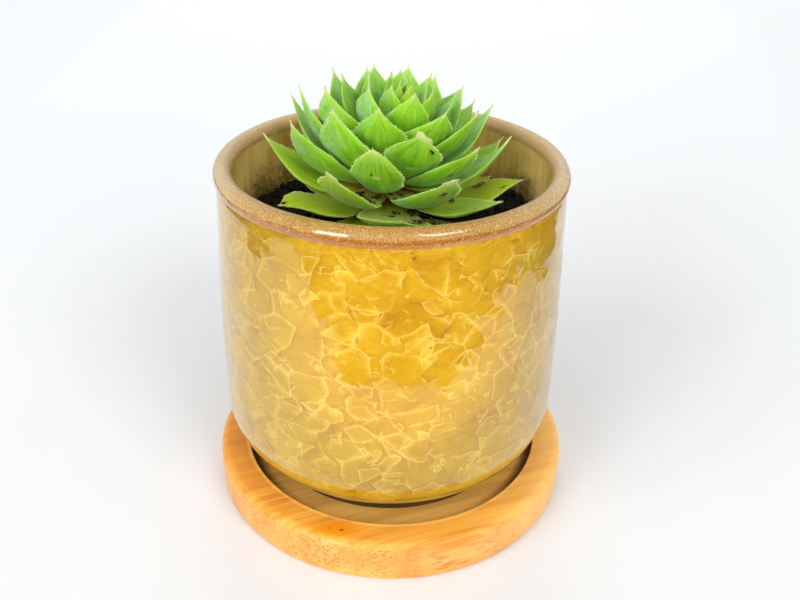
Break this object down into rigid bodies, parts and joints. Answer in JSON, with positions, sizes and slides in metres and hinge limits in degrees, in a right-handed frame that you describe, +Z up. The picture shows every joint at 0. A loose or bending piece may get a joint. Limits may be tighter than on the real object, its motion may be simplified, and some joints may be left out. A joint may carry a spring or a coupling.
{
  "type": "potted houseleek",
  "caption": "Houseleek rosette of pointed fleshy leaves in a straight-walled glazed pot with soil, on a round wooden saucer.",
  "frame": {"origin": "middle of the saucer's underside, on the surface it stands on", "axes": "+Z up; -Y is the front, where the first leaves lie lowest; +X is to the right seen from the front"},
  "size_m": [0.0888, 0.0888, 0.1026],
  "materials": {
    "bamboo": "turned laminated bamboo, lightly oiled, satin",
    "amber_glaze": "glossy amber glaze with broad pale crackle lines and a tan, finely speckled rim",
    "potting_soil": null,
    "stem_and_bud": "fleshy green stem under a closed pale bud",
    "houseleek_leaf": "fresh waxy green leaf, satin, with a pale fringed edge and point"
  },
  "bodies": {
    "root": {"bamboo_saucer": "bamboo", "glazed_pot": "amber_glaze", "potting_soil": "potting_soil", "stem_and_bud": "stem_and_bud", "leaf_01": "houseleek_leaf", "leaf_02": "houseleek_leaf", "leaf_03": "houseleek_leaf", "leaf_04": "houseleek_leaf", "leaf_05": "houseleek_leaf", "leaf_06": "houseleek_leaf", "leaf_07": "houseleek_leaf", "leaf_08": "houseleek_leaf", "leaf_09": "houseleek_leaf", "leaf_10": "houseleek_leaf", "leaf_11": "houseleek_leaf", "leaf_12": "houseleek_leaf", "leaf_13": "houseleek_leaf", "leaf_14": "houseleek_leaf", "leaf_15": "houseleek_leaf", "leaf_16": "houseleek_leaf", "leaf_17": "houseleek_leaf", "leaf_18": "houseleek_leaf", "leaf_19": "houseleek_leaf", "leaf_20": "houseleek_leaf", "leaf_21": "houseleek_leaf", "leaf_22": "houseleek_leaf", "leaf_23": "houseleek_leaf", "leaf_24": "houseleek_leaf", "leaf_25": "houseleek_leaf", "leaf_26": "houseleek_leaf", "leaf_27": "houseleek_leaf", "leaf_28": "houseleek_leaf", "leaf_29": "houseleek_leaf", "leaf_30": "houseleek_leaf", "leaf_31": "houseleek_leaf", "leaf_32": "houseleek_leaf", "leaf_33": "houseleek_leaf", "leaf_34": "houseleek_leaf", "leaf_35": "houseleek_leaf", "leaf_36": "houseleek_leaf", "leaf_37": "houseleek_leaf", "leaf_38": "houseleek_leaf", "leaf_39": "houseleek_leaf", "leaf_40": "houseleek_leaf", "leaf_41": "houseleek_leaf", "leaf_42": "houseleek_leaf", "leaf_43": "houseleek_leaf", "leaf_44": "houseleek_leaf", "leaf_45": "houseleek_leaf", "leaf_46": "houseleek_leaf", "leaf_47": "houseleek_leaf", "leaf_48": "houseleek_leaf", "leaf_49": "houseleek_leaf", "leaf_50": "houseleek_leaf", "leaf_51": "houseleek_leaf", "leaf_52": "houseleek_leaf"}
  },
  "joints": []
}
